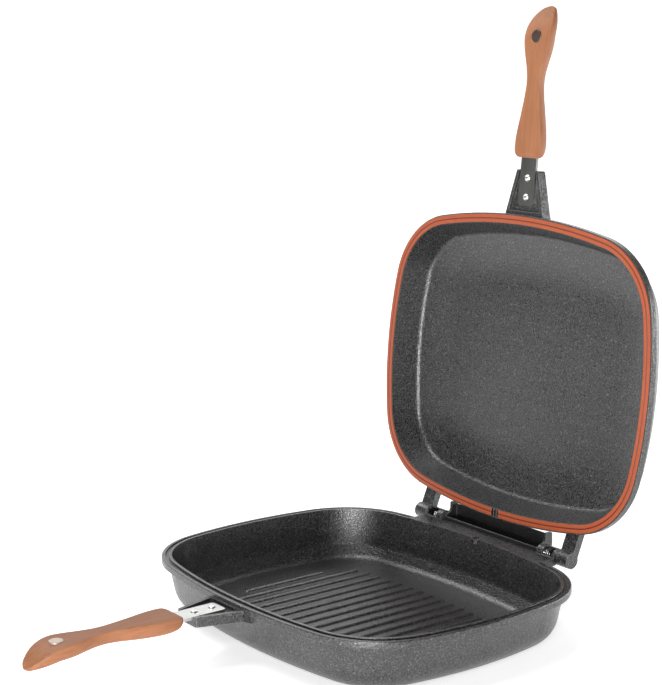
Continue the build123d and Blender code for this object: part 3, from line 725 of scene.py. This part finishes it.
def paper_sweep(row_count, column_count):
    """A sheet of paper as a grid: flat, then a quarter circle, then upright. It is turned so that its upright
    part stands behind the pan as the camera sees it."""
    run = np.linspace(paper_front, paper_end, row_count)
    bend = np.clip((run - bend_start) / bend_radius, 0, np.pi / 2)
    depth = np.minimum(run, bend_start) + bend_radius * np.sin(bend)
    upright = np.clip(run - bend_start - bend_radius * np.pi / 2, 0, None)
    height = bend_radius * (1 - np.cos(bend)) + upright
    side = np.linspace(-paper_half_width, paper_half_width, column_count)
    d, s = np.meshgrid(depth, side, indexing="ij")
    z = np.broadcast_to(height[:, None], d.shape)
    x = -np.sin(paper_turn) * d + np.cos(paper_turn) * s
    y = np.cos(paper_turn) * d + np.sin(paper_turn) * s
    return np.stack([x, y, z], axis=-1)


def pale_paper():
    """Matt paper with faint fibres, a little bright by itself so that its far end stays pale."""
    b = Bench("pale_paper")
    fibre = b.noise(30, detail=4)
    white = b.blend(fibre, (0.9, 0.9, 0.9, 1), (0.93, 0.93, 0.93, 1))
    return b.finish(Base_Color=white, Roughness=0.9, Emission_Color=white, Emission_Strength=0.6)


def make_paper(row_count, column_count):
    """An open sheet: each face joins point (i, j) to (i+1, j), (i+1, j+1) and (i, j+1)."""
    i, j = np.meshgrid(np.arange(row_count - 1), np.arange(column_count - 1), indexing="ij")
    near, far = i * column_count + j, (i + 1) * column_count + j
    quads = np.stack([near, far, far + 1, near + 1], axis=-1).reshape(-1, 4)
    mesh = bpy.data.meshes.new("paper_sweep")
    mesh.from_pydata(paper_sweep(row_count, column_count).reshape(-1, 3), [], quads.tolist())
    mesh.polygons.foreach_set("use_smooth", np.full(len(mesh.polygons), True))
    mesh.materials.append(pale_paper())
    sheet = bpy.data.objects.new("paper_sweep", mesh)
    bpy.context.scene.collection.objects.link(sheet)
    print("paper sweep of", len(mesh.polygons), "faces")
    return sheet


paper = make_paper(160, 9)


# %% Lights
def panel(name, place, aim, size, power):
    """A light panel of a width and a height at a place, facing its aim."""
    light = bpy.data.lights.new(name, "AREA")
    light.shape = "RECTANGLE"
    light.size, light.size_y = size
    light.energy = power
    lamp = bpy.data.objects.new(name, light)
    lamp.location = place
    lamp.rotation_euler = (Vector(place) - Vector(aim)).to_track_quat("Z", "Y").to_euler()
    bpy.context.scene.collection.objects.link(lamp)


middle = (0, 0.08, 0.15)
panel("main_light", (1.45, -1.5, 0.75), middle, (0.5, 1.2), 19)
panel("low_light", (1.15, -1.4, 0.11), middle, (0.45, 0.2), 28)
panel("side_light", (0.6, 1.75, 0.35), middle, (0.7, 0.6), 17)
panel("edge_light", (-1.6, 0.1, 1.3), middle, (0.8, 0.8), 11)
panel("back_light", (-0.95, 1.3, 1.55), middle, (0.9, 0.9), 10)
panel("top_light", (-0.4, -0.4, 1.85), middle, (0.9, 0.9), 18)

world = bpy.data.worlds.new("soft_room")
world.use_nodes = True
world.node_tree.nodes["Background"].inputs["Color"].default_value = (1, 1, 1, 1)
world.node_tree.nodes["Background"].inputs["Strength"].default_value = 0.1
bpy.context.scene.world = world
bpy.context.scene.view_settings.view_transform = "Standard"
print("lights:", ", ".join(light.name for light in bpy.data.lights))

# %% [markdown]
# ## The camera
#
# The camera stands in front and to the right, a little above the rim, far enough away for a long lens.

# %% Camera
azimuth = np.radians(52.35)
elevation = np.radians(10.9)
tilt = np.radians(0.12)
distance = 1.5603
aim = Vector((-0.0457, 0, 0.2498))
back = Vector((np.cos(elevation) * np.sin(azimuth), -np.cos(elevation) * np.cos(azimuth), np.sin(elevation)))
camera_data = bpy.data.cameras.new("view")
camera_data.lens = 90.70
camera_data.sensor_width = 36
camera = bpy.data.objects.new("view", camera_data)
camera.location = aim + back * distance
camera.rotation_euler = (back.to_track_quat("Z", "Y") @ Quaternion((0, 0, 1), tilt)).to_euler()
bpy.context.scene.collection.objects.link(camera)
bpy.context.scene.camera = camera
print("camera at", tuple(round(v, 4) for v in camera.location))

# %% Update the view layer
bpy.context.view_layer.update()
